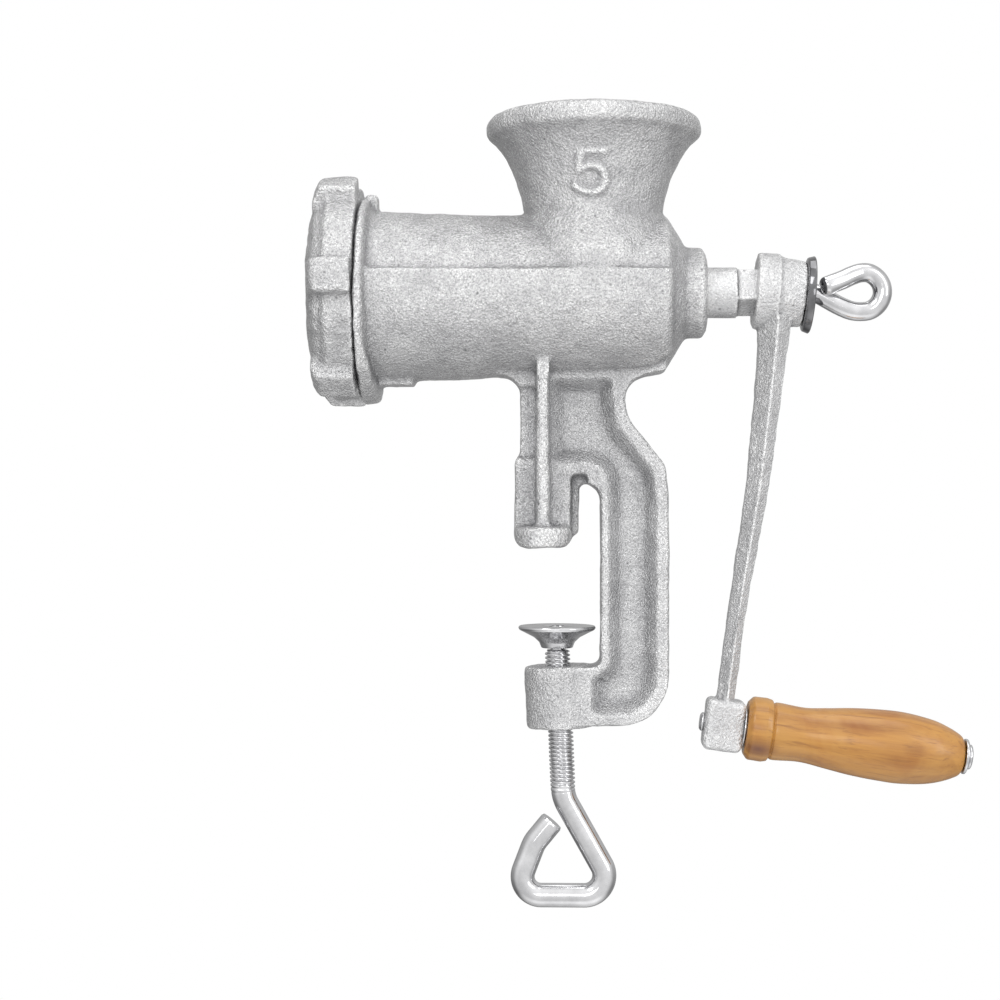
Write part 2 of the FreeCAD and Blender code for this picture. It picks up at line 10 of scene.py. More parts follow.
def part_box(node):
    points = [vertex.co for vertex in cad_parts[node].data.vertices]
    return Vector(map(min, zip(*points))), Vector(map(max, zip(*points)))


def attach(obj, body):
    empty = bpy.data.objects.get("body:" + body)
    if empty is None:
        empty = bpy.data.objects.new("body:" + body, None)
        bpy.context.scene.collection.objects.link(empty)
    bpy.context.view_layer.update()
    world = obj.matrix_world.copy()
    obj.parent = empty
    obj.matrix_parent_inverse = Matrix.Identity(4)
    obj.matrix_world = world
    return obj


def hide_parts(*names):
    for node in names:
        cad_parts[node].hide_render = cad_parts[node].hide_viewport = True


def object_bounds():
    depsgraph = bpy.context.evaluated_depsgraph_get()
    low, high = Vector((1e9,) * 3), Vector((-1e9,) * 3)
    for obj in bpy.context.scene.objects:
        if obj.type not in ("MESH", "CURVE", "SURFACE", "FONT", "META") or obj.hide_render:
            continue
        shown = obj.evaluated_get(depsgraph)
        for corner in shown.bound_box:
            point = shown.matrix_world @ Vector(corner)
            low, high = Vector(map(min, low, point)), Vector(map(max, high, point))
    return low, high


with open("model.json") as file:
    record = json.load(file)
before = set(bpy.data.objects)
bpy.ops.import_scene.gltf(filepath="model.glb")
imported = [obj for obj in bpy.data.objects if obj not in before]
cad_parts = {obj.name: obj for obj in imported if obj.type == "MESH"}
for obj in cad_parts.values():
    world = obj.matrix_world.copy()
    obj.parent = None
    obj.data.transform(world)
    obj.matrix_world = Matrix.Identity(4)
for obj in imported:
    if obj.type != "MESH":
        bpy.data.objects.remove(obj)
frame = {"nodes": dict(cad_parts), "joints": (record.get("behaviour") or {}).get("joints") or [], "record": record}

CAD_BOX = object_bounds()
MM = 0.001
SCENE = bpy.context.scene
JOINTS = {joint["name"]: joint for joint in frame["joints"]}
BODY_OF = {node: body for body, nodes in frame["record"]["behaviour"]["bodies"].items() for node in nodes}
SLOT_OF = {part["node"]: part["material_slot"] for part in frame["record"]["subparts"]}

AXIS_Z = JOINTS["crank_turn"]["pos_m"][2] / MM      # height of the shaft's axis
HUB_X = JOINTS["crank_turn"]["pos_m"][0] / MM       # the hub's centre on it
HUB_RAKE = math.radians(4.5)                        # the hub is cast slightly out of square
Y_AXIS = Vector((0, 1, 0))


# ---- places -------------------------------------------------------------------------------------
def place_along(joint):
    """Matrix from a joint's own frame, in mm with its axis as +Z and +Y kept, to the row frame."""
    axis = Vector(JOINTS[joint]["axis"]).normalized()
    across = Y_AXIS.cross(axis).normalized()
    turn = Matrix((across, Y_AXIS, axis)).transposed().to_4x4()
    return Matrix.Translation(Vector(JOINTS[joint]["pos_m"])) @ turn @ Matrix.Scale(MM, 4)


def place_on_shaft(tilt):
    """The same for the hub's axis, which is tilted a little from the shaft's."""
    axis = Vector((math.cos(tilt), 0, -math.sin(tilt)))
    turn = Matrix((Y_AXIS.cross(axis), Y_AXIS, axis)).transposed().to_4x4()
    return Matrix.Translation(Vector((HUB_X, 0, AXIS_Z)) * MM) @ turn @ Matrix.Scale(MM, 4)


# ---- mesh helpers -------------------------------------------------------------------------------
def new_object(name, vertices, faces, place=None):
    mesh = bpy.data.meshes.new(name)
    mesh.from_pydata([tuple(v) for v in vertices], [], faces)
    if place is not None:
        mesh.transform(place)
    mesh.validate()
    return link_mesh(name, mesh)


def link_mesh(name, mesh):
    obj = bpy.data.objects.new(name, mesh)
    SCENE.collection.objects.link(obj)
    return obj


def outward(obj):
    """Make the faces of a closed mesh point outwards."""
    work = bmesh.new()
    work.from_mesh(obj.data)
    bmesh.ops.recalc_face_normals(work, faces=work.faces)
    work.to_mesh(obj.data)
    work.free()
    return obj


def shade_smooth(obj, angle=None):
    obj.data.polygons.foreach_set("use_smooth", [True] * len(obj.data.polygons))
    if angle is not None:
        work = bmesh.new()
        work.from_mesh(obj.data)
        for edge in work.edges:
            edge.smooth = len(edge.link_faces) == 2 and edge.calc_face_angle(0.0) < math.radians(angle)
        work.to_mesh(obj.data)
        work.free()
    return obj


def rounded(corners, step=0.25):
    """Points along a polyline whose corners (x, y[, radius]) are rounded by arcs."""
    points = []
    count = len(corners)
    for i, corner in enumerate(corners):
        here = np.array(corner[:2], float)
        radius = corner[2] if len(corner) > 2 else 0.0
        if radius <= 0 or i in (0, count - 1):
            points.append(here)
            continue
        back = np.array(corners[i - 1][:2], float) - here
        ahead = np.array(corners[i + 1][:2], float) - here
        back /= np.linalg.norm(back)
        ahead /= np.linalg.norm(ahead)
        half = math.acos(max(-1.0, min(1.0, float(back @ ahead)))) / 2
        middle = (back + ahead) / np.linalg.norm(back + ahead)
        centre = here + middle * radius / math.sin(half)
        start = here + back * radius / math.tan(half) - centre
        end = here + ahead * radius / math.tan(half) - centre
        sweep = math.pi - 2 * half
        arcs = max(4, int(radius * sweep / step))
        for k in range(arcs + 1):
            t = k / arcs
            a, b = math.sin((1 - t) * sweep), math.sin(t * sweep)
            points.append(centre + (start * a + end * b) / math.sin(sweep))
    return np.array(points)


def evenly(points, step):
    """The same path with points every step, starting and ending where it did."""
    points = np.array(points, float)
    lengths = np.concatenate([[0], np.cumsum(np.linalg.norm(np.diff(points, axis=0), axis=1))])
    count = max(2, int(round(lengths[-1] / step)) + 1)
    at = np.linspace(0, lengths[-1], count)
    return np.stack([np.interp(at, lengths, points[:, k]) for k in range(points.shape[1])], axis=1), at


def spline(points, samples=24):
    """Catmull-Rom curve through the points."""
    p = np.array(points, float)
    p = np.vstack([2 * p[0] - p[1], p, 2 * p[-1] - p[-2]])
    out = []
    for i in range(1, len(p) - 2):
        for t in np.linspace(0, 1, samples, endpoint=False):
            out.append(0.5 * (2 * p[i] + (p[i + 1] - p[i - 1]) * t
                              + (2 * p[i - 1] - 5 * p[i] + 4 * p[i + 1] - p[i + 2]) * t ** 2
                              + (3 * p[i] - p[i - 1] - 3 * p[i + 1] + p[i + 2]) * t ** 3))
    out.append(p[-2])
    return np.array(out)


def lathe(name, profile, place, segments=160, closed=False, step=0.25):
    """A turned piece: profile corners are (along the axis, radius[, rounding radius])."""
    line = rounded(profile, step)
    rows = []
    vertices = []
    for along, radius in line:
        if radius < 1e-6:
            rows.append([len(vertices)] * segments)
            vertices.append((0, 0, along))
            continue
        rows.append(range(len(vertices), len(vertices) + segments))
        for k in range(segments):
            angle = 2 * math.pi * k / segments
            vertices.append((radius * math.cos(angle), radius * math.sin(angle), along))
    pairs = list(zip(rows, rows[1:]))
    if closed:
        pairs.append((rows[-1], rows[0]))
    faces = []
    for a, b in pairs:
        for k in range(segments):
            n = (k + 1) % segments
            face = list(dict.fromkeys((a[k], a[n], b[n], b[k])))
            if len(face) > 2:
                faces.append(face)
    return outward(new_object(name, vertices, faces, place))


def rod_faces(rings, sides):
    """The faces round a rod made of rings of vertices, and its two ends."""
    faces = [list(range(sides))[::-1], [(rings - 1) * sides + k for k in range(sides)]]
    for i in range(rings - 1):
        for k in range(sides):
            n = (k + 1) % sides
            faces.append([i * sides + k, i * sides + n, (i + 1) * sides + n, (i + 1) * sides + k])
    return faces


def sweep(name, path, radius, place, sides=48):
    """A rod along a path of (x, y, z) points. radius(index, angles) gives the radii of each ring."""
    path = np.array(path, float)
    tangents = np.gradient(path, axis=0)
    tangents /= np.linalg.norm(tangents, axis=1)[:, None]
    side = np.cross(np.array([0.0, 1.0, 0.0]), tangents)
    side /= np.linalg.norm(side, axis=1)[:, None]
    up = np.cross(tangents, side)
    angles = np.linspace(0, 2 * math.pi, sides, endpoint=False)
    vertices = []
    for i in range(len(path)):
        r = radius(i, angles)[:, None]
        ring = path[i] + r * (np.cos(angles)[:, None] * side[i] + np.sin(angles)[:, None] * up[i])
        vertices.extend(ring)
    return outward(new_object(name, vertices, rod_faces(len(path), sides), place))


def apply_modifiers(obj):
    """Replace the object's mesh with what its modifiers make of it."""
    graph = bpy.context.evaluated_depsgraph_get()
    graph.update()
    mesh = bpy.data.meshes.new_from_object(obj.evaluated_get(graph))
    old = obj.data
    obj.modifiers.clear()
    obj.data = mesh
    bpy.data.meshes.remove(old)
    return obj


def positions(mesh):
    flat = np.empty(len(mesh.vertices) * 3, np.float32)
    mesh.vertices.foreach_get("co", flat)
    return flat.reshape(-1, 3).astype(float)


def set_positions(mesh, places):
    mesh.vertices.foreach_set("co", places.astype(np.float32).ravel())
    mesh.update()


def remesh(obj, voxel_mm):
    modifier = obj.modifiers.new("remesh", "REMESH")
    modifier.mode = "VOXEL"
    modifier.voxel_size = voxel_mm * MM
    return apply_modifiers(obj)


def soften(obj, times, weights=None):
    """Smooth the mesh times over, only where weights is above zero if it is given."""
    if times <= 0:
        return obj
    modifier = obj.modifiers.new("soften", "SMOOTH")
    modifier.factor = 0.5
    modifier.iterations = times
    if weights is not None:
        group = obj.vertex_groups.new(name="soften")
        for level in np.unique(np.round(weights, 1)):
            if level > 0:
                chosen = np.nonzero(np.abs(weights - level) < 0.051)[0]
                group.add(chosen.tolist(), float(level), "REPLACE")
        modifier.vertex_group = "soften"
    apply_modifiers(obj)
    obj.vertex_groups.clear()
    return obj


def roughen(obj, layers, low, high):
    """Push the surface in and out by layers of (wavelength mm, height mm) noise, within a box."""
    mesh = obj.data
    places = positions(mesh)
    normals = np.empty(len(mesh.vertices) * 3, np.float32)
    mesh.vertices.foreach_get("normal", normals)
    push = np.zeros(len(places))
    for number, (wavelength, height) in enumerate(layers):
        scaled = places / (wavelength * MM) + 17.3 * number
        push += height * MM * np.array([noise.noise(p) for p in scaled.tolist()])
    places += normals.reshape(-1, 3) * push[:, None]
    set_positions(mesh, np.clip(places, np.array(low), np.array(high)))
    return obj


def thin_out(obj, triangles):
    """Decimate to the stated number of triangles."""
    have = sum(len(p.vertices) - 2 for p in obj.data.polygons)
    if have > triangles:
        modifier = obj.modifiers.new("thin", "DECIMATE")
        modifier.ratio = triangles / have
        apply_modifiers(obj)
    return obj


def skin(node, voxel, times, layers=(), triangles=185000):
    """The CAD node's shape with its edges softened and its surface uneven, as cast or ground metal has."""
    obj = link_mesh(node + "_skin", frame["nodes"][node].data.copy())
    remesh(obj, voxel)
    soften(obj, times)
    low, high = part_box(node)
    if layers:
        roughen(obj, layers, low, high)
    thin_out(obj, triangles)
    return shade_smooth(obj)


def stands_for(obj, node, material=None):
    """The piece takes the node's place, body, finish and slot."""
    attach(obj, BODY_OF[node])
    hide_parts(node)
    obj.data.materials.clear()
    obj.data.materials.append(material or MATERIALS[SLOT_OF[node]])
    return obj


# ---- materials ----------------------------------------------------------------------------------
class Look:
    """A procedural material under construction. Texture scales are per metre, in the row frame."""

    def __init__(self, name, color, metallic, roughness, turn=(0, 0, 0)):
        self.material = bpy.data.materials.new(name)
        self.material.use_nodes = True
        self.tree = self.material.node_tree
        self.shader = self.tree.nodes["Principled BSDF"]
        self.shader.inputs["Base Color"].default_value = (*color, 1)
        self.shader.inputs["Metallic"].default_value = metallic
        self.shader.inputs["Roughness"].default_value = roughness
        coordinates = self.tree.nodes.new("ShaderNodeTexCoord")
        mapping = self.tree.nodes.new("ShaderNodeMapping")
        mapping.inputs["Rotation"].default_value = turn
        self.join(coordinates.outputs["Object"], mapping.inputs["Vector"])
        self.place = mapping.outputs["Vector"]

    def join(self, output, socket):
        self.tree.links.new(output, socket)

    def stretched(self, scale):
        node = self.tree.nodes.new("ShaderNodeMapping")
        node.inputs["Scale"].default_value = scale
        self.join(self.place, node.inputs["Vector"])
        return node.outputs["Vector"]

    def noise(self, scale, detail=3.0, rough=0.5, distortion=0.0, place=None):
        node = self.tree.nodes.new("ShaderNodeTexNoise")
        node.inputs["Scale"].default_value = scale
        node.inputs["Detail"].default_value = detail
        node.inputs["Roughness"].default_value = rough
        node.inputs["Distortion"].default_value = distortion
        self.join(place or self.place, node.inputs["Vector"])
        return node.outputs["Fac"]

    def cells(self, scale, place=None):
        node = self.tree.nodes.new("ShaderNodeTexVoronoi")
        node.inputs["Scale"].default_value = scale
        self.join(place or self.place, node.inputs["Vector"])
        return node.outputs["Distance"]

    def between(self, value, low, high, start=0.0, end=1.0):
        """Map value from low..high to start..end."""
        node = self.tree.nodes.new("ShaderNodeMapRange")
        for name, number in (("From Min", low), ("From Max", high), ("To Min", start), ("To Max", end)):
            node.inputs[name].default_value = number
        self.join(value, node.inputs["Value"])
        return node.outputs["Result"]

    def math(self, how, a, b):
        node = self.tree.nodes.new("ShaderNodeMath")
        node.operation = how
        for socket, value in zip(node.inputs, (a, b)):
            if isinstance(value, (int, float)):
                socket.default_value = value
            else:
                self.join(value, socket)
        return node.outputs["Value"]

    def blend(self, amount, a, b):
        """Mix colour a and colour b, each a triple or an output, by amount."""
        node = self.tree.nodes.new("ShaderNodeMix")
        node.data_type = "RGBA"
        colors = [socket for socket in node.inputs if socket.type == "RGBA"]
        for socket, value in zip(colors, (a, b)):
            if isinstance(value, tuple):
                socket.default_value = (*value, 1)
            else:
                self.join(value, socket)
        self.join(amount, node.inputs["Factor"])
        return [socket for socket in node.outputs if socket.type == "RGBA"][0]

    def painted_crevice_shade(self):
        """Pointiness mapped from 0 in crevices to 1 on edges: painted shade in the crevices, lighter worn edges.
        """
        node = self.tree.nodes.new("ShaderNodeNewGeometry")
        return self.between(node.outputs["Pointiness"], 0.44, 0.56)

    def color(self, output):
        self.join(output, self.shader.inputs["Base Color"])

    def roughness(self, output):
        self.join(output, self.shader.inputs["Roughness"])

    def bump(self, layers):
        """Stack bumps of (height output, strength, depth mm)."""
        below = None
        for height, strength, depth in layers:
            node = self.tree.nodes.new("ShaderNodeBump")
            node.inputs["Strength"].default_value = strength
            node.inputs["Distance"].default_value = depth * MM
            self.join(height, node.inputs["Height"])
            if below is not None:
                self.join(below, node.inputs["Normal"])
            below = node.outputs["Normal"]
        self.join(below, self.shader.inputs["Normal"])


def cast_tin(name, light, dark, grit, rough, metallic=0.88):
    """Tin-plated sand casting: grains, soft dimples, pits, lighter worn edges, and painted shade that greys the
    hollows.
    """
    look = Look(name, light, metallic, 0.4)
    grains = look.noise(1250, 3.0, 0.62)
    dimples = look.noise(330, 3.0, 0.55, 0.4)
    patches = look.noise(60, 3.0, 0.6)
    pits = look.between(look.cells(150), 0.02, 0.10)
    sooty = look.between(look.noise(1350, 3.0, 0.65), 0.36, 0.56)
    # the tone is darkened in crevices by pointiness as painted shade, and the edges stay lighter as wear
    tone = look.math("MULTIPLY", look.between(patches, 0.3, 0.7, 0.6, 1.0), look.painted_crevice_shade())
    tone = look.math("MULTIPLY", look.between(tone, 0.0, 0.7), look.between(sooty, 0.0, 1.0, 0.5, 1.0))
    look.color(look.blend(look.math("MULTIPLY", tone, pits), dark, light))
    look.roughness(look.between(look.noise(600, 4.0, 0.7), 0.3, 0.7, rough[0], rough[1]))
    look.bump([(dimples, grit[0], 0.7), (grains, grit[1], 0.85), (pits, 0.5, 0.4)])
    return look.material


def plated(name, light, dark, rough, scratch=0.15):
    """Bright plated or ground steel with faint drawing lines, blotches and handling marks."""
    look = Look(name, light, 1.0, rough[0])
    blotch = look.noise(120, 4.0, 0.65)
    fine = look.noise(2400, 2.0, 0.5, 0.0, look.stretched((1, 1, 0.12)))
    look.color(look.blend(look.between(blotch, 0.3, 0.75), light, dark))
    look.roughness(look.between(look.noise(300, 4.0, 0.7), 0.3, 0.7, rough[0], rough[1]))
    look.bump([(look.noise(260, 2.0, 0.5), scratch, 0.25), (fine, scratch, 0.05)])
    return look.material


def plain(name, light, dark, rough, grain):
    """Matte fibre or plastic with a slight grain and a blotchy tone."""
    look = Look(name, light, 0.0, rough[0])
    look.color(look.blend(look.between(look.noise(180, 4.0, 0.7), 0.3, 0.7), light, dark))
    look.roughness(look.between(look.noise(500, 3.0, 0.6), 0.3, 0.7, rough[0], rough[1]))
    look.bump([(look.noise(1500, 3.0, 0.6), grain, 0.15)])
    return look.material


def varnished_wood(name):
    """Honey-coloured hardwood under clear varnish, its grain running along the grip."""
    axis = Vector(JOINTS["grip_turn"]["axis"])
    look = Look(name, (0.72, 0.4, 0.13), 0.0, 0.3, (0, -math.atan2(-axis.z, axis.x), 0))
    along = look.stretched((0.10, 1, 1))
    figure = look.noise(120, 4.0, 0.55, 1.4, along)
    lines = look.noise(900, 3.0, 0.6, 0.6, look.stretched((0.05, 1, 1)))
    clouds = look.noise(42, 3.0, 0.6, 1.0)
    knots = look.between(look.cells(44, look.stretched((0.55, 1, 1))), 0.02, 0.22)
    base = look.blend(look.between(figure, 0.32, 0.68), (0.49, 0.22, 0.036), (0.29, 0.10, 0.011))
    mottled = look.blend(look.between(clouds, 0.35, 0.75, 0.0, 0.55), base, (0.57, 0.31, 0.075))
    lined = look.blend(look.between(lines, 0.55, 0.72, 0.0, 0.6), mottled, (0.22, 0.08, 0.015))
    look.color(look.blend(knots, (0.16, 0.05, 0.012), lined))
    look.roughness(look.between(look.noise(160, 3.0, 0.6), 0.3, 0.7, 0.32, 0.5))
    look.bump([(lines, 0.12, 0.15), (figure, 0.1, 0.2)])
    look.shader.inputs["Coat Weight"].default_value = 0.5
    look.shader.inputs["Coat Roughness"].default_value = 0.18
    return look.material


MATERIALS = {
    "cast_tin": cast_tin("cast_tin", (0.93, 0.93, 0.93), (0.26, 0.26, 0.27), (0.6, 1.0), (0.12, 0.30)),
    "shaft_tin": cast_tin("shaft_tin", (0.90, 0.90, 0.90), (0.34, 0.34, 0.35), (0.4, 0.5), (0.20, 0.38)),
    "plated_steel": plated("plated_steel", (0.76, 0.76, 0.77), (0.52, 0.52, 0.53), (0.06, 0.13)),
    "chrome_dish": plated("chrome_dish", (0.80, 0.80, 0.82), (0.66, 0.66, 0.68), (0.05, 0.12), 0.05),
    "dark_steel": plated("dark_steel", (0.10, 0.10, 0.11), (0.05, 0.05, 0.055), (0.28, 0.45), 0.3),
    "plate_steel": plated("plate_steel", (0.50, 0.50, 0.51), (0.34, 0.34, 0.35), (0.24, 0.42), 0.3),
    "fibre": plain("fibre", (0.45, 0.16, 0.10), (0.30, 0.09, 0.05), (0.6, 0.85), 0.3),
    "bush_plastic": plain("bush_plastic", (0.86, 0.86, 0.84), (0.70, 0.70, 0.67), (0.4, 0.6), 0.15),
    "varnished_wood": varnished_wood("varnished_wood"),
}
# chrome coloured dark for the washer: a painted dark reflection
CHROME_PAINTED_DARK_REFLECTION = plated("chrome_painted_dark_reflection", (0.28, 0.28, 0.29), (0.14, 0.14, 0.145), (0.04, 0.10), 0.05)
# a lighter, less metallic copy of the cast tin for the crank arm: painted light that brightens the arm
ARM_TIN_PAINTED_LIGHT = cast_tin("arm_tin_painted_light", (0.97, 0.97, 0.97), (0.34, 0.34, 0.35), (0.5, 1.0), (0.14, 0.30), 0.6)
for node, cad in frame["nodes"].items():
    cad.data.materials.clear()
    cad.data.materials.append(MATERIALS[SLOT_OF[node]])


# ---- castings -----------------------------------------------------------------------------------
HOPPER_X = 18.2
HOPPER_SKIN = [(112, 24.2), (121, 25.0), (129, 26.6), (135, 28.5), (141, 30.8), (148, 36.0)]   # z, radius
NUMERAL_SUNK = 0.05        # how far the numeral's centre line lies under the hopper's surface
NUMERAL_R = 1.35


def on_hopper(x, z, sink):
    """The point of the hopper's near face at x and height z, sunk into it by sink."""
    radius = np.interp(z, [h for h, _ in HOPPER_SKIN], [r for _, r in HOPPER_SKIN]) - sink
    return (x, -math.sqrt(radius ** 2 - (x - HOPPER_X) ** 2), z)


def numeral_tubes():
    """The raised size numeral 5 on the hopper's near face: a bar and stem, and a bowl."""
    strokes = [[(22.2, 139.6), (13.6, 139.6), (12.6, 133.4), (13.4, 132.4)],
               [(13.0, 133.0), (16.4, 134.6), (20.4, 133.4), (22.0, 130.2), (20.6, 126.8), (16.8, 125.6),
                (12.4, 127.0), (10.8, 128.6)]]
    tubes = []
    for number, stroke in enumerate(strokes):
        line = spline(stroke, 10) if number else np.array(rounded([(*p, 0.4) for p in stroke], 0.3))
        line, _ = evenly(line, 0.5)
        path = [on_hopper(x, z, NUMERAL_SUNK) for x, z in line]
        tubes.append(tube(path, NUMERAL_R))
    return tubes


def tube(path, radius, sides=12):
    """Vertices and faces of a plain tube with any direction, its ends closed."""
    path = np.array(path, float)
    tangents = np.gradient(path, axis=0)
    tangents /= np.linalg.norm(tangents, axis=1)[:, None]
    side = np.cross(tangents, np.array([0.0, 1.0, 0.0]))
    side /= np.linalg.norm(side, axis=1)[:, None]
    up = np.cross(side, tangents)
    angles = np.linspace(0, 2 * math.pi, sides, endpoint=False)
    vertices = []
    for p, s, u in zip(path, side, up):
        vertices.extend(p + radius * (np.cos(angles)[:, None] * s + np.sin(angles)[:, None] * u))
    return vertices, rod_faces(len(path), sides)


# outline of the recess between the leg's flanges: x, z and rounding radius
POCKET = [(3.4, 60.5, 2), (3.4, 31.4, 2), (24.0, 31.4, 9), (24.0, -46.9, 6), (17.6, -46.3, 2),
          (17.6, -60.2, 2), (40.6, -60.2, 14), (40.6, 27.8, 6), (24.4, 44.0, 8), (24.4, 60.5, 1),
          (3.4, 60.5)]
LEG_HALF = 10.5            # half width of the leg's flanges
WEB_HALF = 3.6
LEG_TOP = 61               # above this height the leg is part of the barrel
WALL_SHIFT = (-0.5, 3.8)   # how far the pocket's walls lean in at the flange and at the web
WALL_REACH = (3.3, 7.0)    # how far outside and inside the pocket's edge the shift fades out
BEND_REACH = 60            # square of the bends' fading distance
BENDS = (((42.0, 28.6), (-1.2, -0.5)), ((27.0, 45.4), (1.2, 0.5)))   # middle of a bend, and its push
BARREL_OUTSIDE = 27.3      # radii that lie outside the bore and the hopper's throat
THROAT_OUTSIDE = 22.5
JOINT_Z = 113              # height of the hopper's joint with the barrel
JOINT_REACH = 14


def nearest_on(line, places):
    """Signed distance, positive inside, from the closed line of (x, z) points, and the way inwards."""
    points = places[:, (0, 2)]
    nearest = np.full(len(points), np.inf)
    signed = np.zeros(len(points))
    inward = np.zeros((len(points), 2))
    for start, end in zip(line, line[1:]):
        span = end - start
        length = np.linalg.norm(span)
        if length < 1e-6:
            continue
        left = np.array((-span[1], span[0])) / length
        at = np.clip((points - start) @ span / length ** 2, 0, 1)
        away = np.linalg.norm(points - start - at[:, None] * span, axis=1)
        closer = away < nearest
        nearest = np.where(closer, away, nearest)
        side = np.sign((points - start) @ left)
        signed = np.where(closer, away * side, signed)
        inward[closer] = left
    return signed, inward


def lean_pocket_walls(obj):
    """Slope the pocket's upright walls, the deeper the further in, and round the leg's two bends."""
    places = positions(obj.data) / MM
    distance, inward = nearest_on(rounded(POCKET, 1.0), places)
    depth = np.clip((LEG_HALF - np.abs(places[:, 1])) / (LEG_HALF - WEB_HALF), 0, 1)
    reach = np.where(distance < 0, 1 + distance / WALL_REACH[0], 1 - distance / WALL_REACH[1])
    on_leg = (np.abs(places[:, 1]) > WEB_HALF - 1) & (places[:, 2] < LEG_TOP)
    lean = WALL_SHIFT[0] + (WALL_SHIFT[1] - WALL_SHIFT[0]) * depth
    places[:, (0, 2)] += inward * (lean * np.clip(reach, 0, 1) * on_leg)[:, None]
    for middle, push in BENDS:
        squared = ((places[:, (0, 2)] - middle) ** 2).sum(axis=1)
        near = np.exp(-squared / BEND_REACH) * (places[:, 2] < LEG_TOP - 1)
        places[:, (0, 2)] += near[:, None] * push
    set_positions(obj.data, places * MM)


def join_numeral(obj):
    """Add the numeral's tubes to the mesh; the next remesh makes them one with it."""
    work = bmesh.new()
    work.from_mesh(obj.data)
    for vertices, faces in numeral_tubes():
        made = [work.verts.new(Vector(v) * MM) for v in vertices]
        for face in faces:
            work.faces.new([made[k] for k in face])
    work.to_mesh(obj.data)
    work.free()


def soften_where(obj, times, chosen):
    """Soften at full weight where chosen, a function of x, y and z in mm, holds."""
    soften(obj, times, chosen(*(positions(obj.data) / MM).T).astype(float))


def soften_hopper_joint(obj):
    """A small fillet where the hopper runs into the barrel, on the outside only."""
    x, y, z = (positions(obj.data) / MM).T
    outside = (np.hypot(y, z - AXIS_Z) > BARREL_OUTSIDE) & (np.hypot(x - HOPPER_X, y) > THROAT_OUTSIDE)
    near_joint = np.clip(1 - np.abs(z - JOINT_Z) / JOINT_REACH, 0, 1)
    soften(obj, 4, np.clip(near_joint * 2, 0, 1) * outside)


def round_leg(obj):
    """Round the leg as a whole, then more on its jaw block and sole, and most on the gusset rib."""
    soften_where(obj, 4, lambda x, y, z: (z < LEG_TOP) & (z > -66))
    soften_where(obj, 10, lambda x, y, z: (x < 14.5) & (z < 32) & (z > -3))
    soften_where(obj, 24, lambda x, y, z: (np.abs(y) > LEG_HALF - 0.3) & (z < 62) & (z > 9) & (x < 10))


def body_casting():
    """Barrel, hopper and leg in one sand casting, with the size numeral raised on the hopper."""
    obj = link_mesh("body_casting_skin", frame["nodes"]["body_casting"].data.copy())
    remesh(obj, 0.7)
    soften(obj, 5)
    soften_hopper_joint(obj)
    lean_pocket_walls(obj)
    round_leg(obj)
    join_numeral(obj)
    remesh(obj, 0.65)
    soften(obj, 2)
    low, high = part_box("body_casting")
    roughen(obj, [(14, 0.30), (5.5, 0.22), (2.0, 0.10)], low, high)
    thin_out(obj, 188000)
    return shade_smooth(obj)


REAR_KEPT = 0.5            # depth of the ring's rear edge that isn't rounded
REAR_FADE = 2.0


def ring_nut():
    """The ring with its lugs well rounded, but its rear face kept close to the barrel's collar."""
    obj = link_mesh("ring_nut_skin", frame["nodes"]["ring_nut"].data.copy())
    remesh(obj, 0.55)
    soften(obj, 3)
    low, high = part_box("ring_nut")
    from_rear = high.x / MM - positions(obj.data)[:, 0] / MM
    soften(obj, 60, np.clip((from_rear - REAR_KEPT) / REAR_FADE, 0, 1))
    roughen(obj, [(11, 0.45), (4.5, 0.35), (2.0, 0.10)], low, high)
    thin_out(obj, 185000)
    return shade_smooth(obj)


stands_for(body_casting(), "body_casting")
stands_for(ring_nut(), "ring_nut")
# the crank arm gets the lighter copy of the tin, which is painted light
stands_for(skin("crank_arm", 0.42, 5, [(11, 0.25), (4.0, 0.20), (1.8, 0.10)]), "crank_arm", ARM_TIN_PAINTED_LIGHT)
stands_for(skin("feed_screw", 0.5, 2, [(9, 0.10), (3.0, 0.06)]), "feed_screw")
stands_for(skin("cross_knife", 0.3, 2), "cross_knife")
stands_for(skin("grinding_plate", 0.34, 1), "grinding_plate")


# ---- clamp --------------------------------------------------------------------------------------
CLAMP_ROD_R = 4.4
THREAD_R = 4.6
THREAD_DEPTH = 0.85
THREAD_PITCH = 1.5
THREAD_LOW = -35.0         # where the thread runs out into the bend
RUN_OUT = 5.0              # length over which it grows shallower
CHAMFER = 0.9              # of the rod's upper end
BLUNT_LENGTH = 0.6         # rounded length of the loop's cut end
CLAMP_TOP = 17.4
SWIVEL_R = 2.4
SWIVEL_TOP = 23.9


